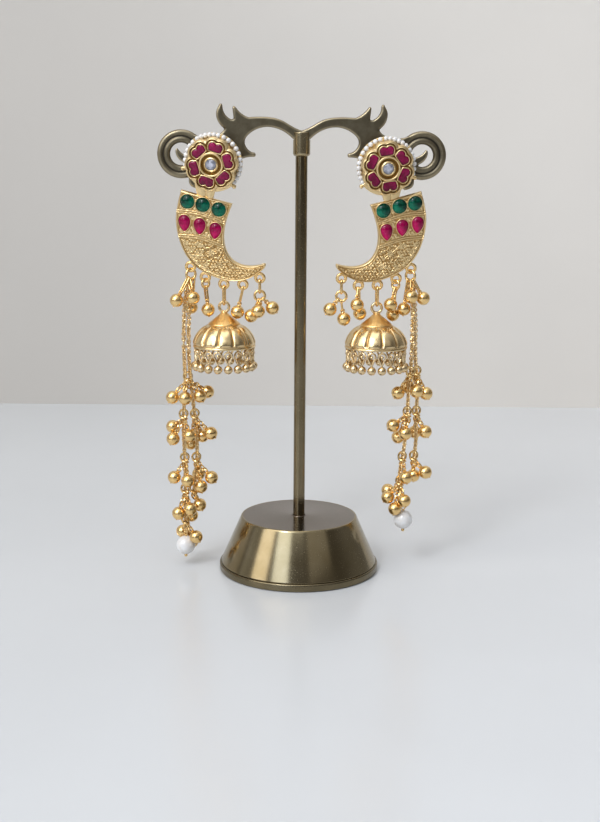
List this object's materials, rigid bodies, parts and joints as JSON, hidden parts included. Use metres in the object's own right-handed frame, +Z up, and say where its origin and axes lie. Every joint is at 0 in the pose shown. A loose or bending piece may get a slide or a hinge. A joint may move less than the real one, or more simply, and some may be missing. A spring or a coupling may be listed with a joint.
{
  "type": "pair of jhumka earrings on a display stand",
  "caption": "Pair of drop earrings with flower studs, tiger-claw plates, small bells with fringes and bead tassels, hung on a scrolled brass display stand.",
  "frame": {"origin": "centre of the underside of the stand's base, on the surface that it stands on", "axes": "+Z up along the pole, the fronts of the earrings face -Y, +X to the right seen from the front"},
  "size_m": [0.0956, 0.0554, 0.1588],
  "materials": {
    "stand_brass": "cast antique brass, dark patina with rubbed bright edges",
    "stand_base_brass": "turned and brushed antique brass",
    "gold": "satin yellow gold, engraved",
    "polished_gold": "polished yellow gold",
    "ruby": "polished ruby",
    "emerald": "polished emerald",
    "clear_stone": "faceted clear stone",
    "pearl": "lustrous white pearl"
  },
  "bodies": {
    "stand": {"stand_base": "stand_base_brass", "stand_pole": "stand_brass", "stand_collar": "stand_brass", "stand_crossbar": "stand_brass", "frame_left": "gold", "petal_rubies_left": "ruby", "centre_stone_left": "clear_stone", "seed_pearls_left": "pearl", "emeralds_left": "emerald", "claw_rubies_left": "ruby", "ear_nut_left": "polished_gold", "links_left": "polished_gold", "top_bead_left_1": "polished_gold", "top_bead_left_2": "polished_gold", "top_bead_left_3": "polished_gold", "top_bead_left_4": "polished_gold", "top_bead_left_5": "polished_gold", "top_bead_left_6": "polished_gold", "top_bead_left_7": "polished_gold", "top_bead_left_8": "polished_gold", "chain_left_1": "polished_gold", "chain_left_2": "polished_gold", "bead_cluster_left_1": "polished_gold", "bead_cluster_left_2": "polished_gold", "bead_cluster_left_3": "polished_gold", "bead_cluster_left_4": "polished_gold", "bead_cluster_left_5": "polished_gold", "pearl_left": "pearl", "pearl_pin_left": "polished_gold", "frame_right": "gold", "petal_rubies_right": "ruby", "centre_stone_right": "clear_stone", "seed_pearls_right": "pearl", "emeralds_right": "emerald", "claw_rubies_right": "ruby", "ear_nut_right": "polished_gold", "links_right": "polished_gold", "top_bead_right_1": "polished_gold", "top_bead_right_2": "polished_gold", "top_bead_right_3": "polished_gold", "top_bead_right_4": "polished_gold", "top_bead_right_5": "polished_gold", "top_bead_right_6": "polished_gold", "top_bead_right_7": "polished_gold", "top_bead_right_8": "polished_gold", "top_bead_right_9": "polished_gold", "chain_right_1": "polished_gold", "chain_right_2": "polished_gold", "bead_cluster_right_1": "polished_gold", "bead_cluster_right_2": "polished_gold", "bead_cluster_right_3": "polished_gold", "bead_cluster_right_4": "polished_gold", "pearl_right": "pearl", "pearl_pin_right": "polished_gold"},
    "bell_left": {"bell_left": "polished_gold", "bell_fringe_left": "polished_gold", "bell_link_left": "polished_gold"},
    "bell_right": {"bell_right": "polished_gold", "bell_fringe_right": "polished_gold", "bell_link_right": "polished_gold"}
  },
  "joints": [
    {"name": "bell_left_swing", "type": "hinge", "parent": "stand", "child": "bell_left", "pos_m": [-0.02589, 0.00125, 0.0981], "axis": [0.9877, -0.1564, 0], "range_deg": [-40, 40]},
    {"name": "bell_right_swing", "type": "hinge", "parent": "stand", "child": "bell_right", "pos_m": [0.02589, 0.00125, 0.0981], "axis": [0.9877, 0.1564, 0], "range_deg": [-40, 40]}
  ]
}
